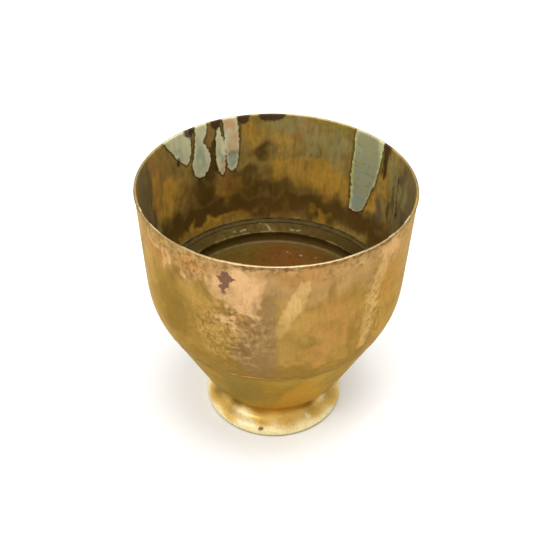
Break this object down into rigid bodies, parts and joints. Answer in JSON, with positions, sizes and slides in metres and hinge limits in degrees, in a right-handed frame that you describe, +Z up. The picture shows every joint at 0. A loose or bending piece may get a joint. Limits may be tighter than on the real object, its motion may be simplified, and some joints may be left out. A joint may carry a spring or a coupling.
{
  "type": "brass planter pot",
  "caption": "Deep round brass planter: a turned-in sheet bowl with a folded lip on a hollow funnel-shaped pedestal with a flared foot and a soldered-in bottom pan.",
  "frame": {"origin": "centre of the foot, on the surface that the pot stands on", "axes": "+Z up along the axis of the pot; +X to the right when the pot is seen from the front, along +Y"},
  "size_m": [0.18, 0.18, 0.186],
  "materials": {
    "bowl_brass": "aged, tarnished spun brass, satin",
    "pedestal_brass": "aged spun brass, satin, paler on the flare",
    "seam_solder": "coppery brazing run, scraped flush",
    "pan_brass": "brown tarnish, dull",
    "pan_solder": "soft solder under grey-green crust, dull"
  },
  "bodies": {
    "root": {"bowl": "bowl_brass", "pedestal": "pedestal_brass", "seam_solder": "seam_solder", "bottom_pan": "pan_brass", "pan_solder": "pan_solder"}
  },
  "joints": []
}
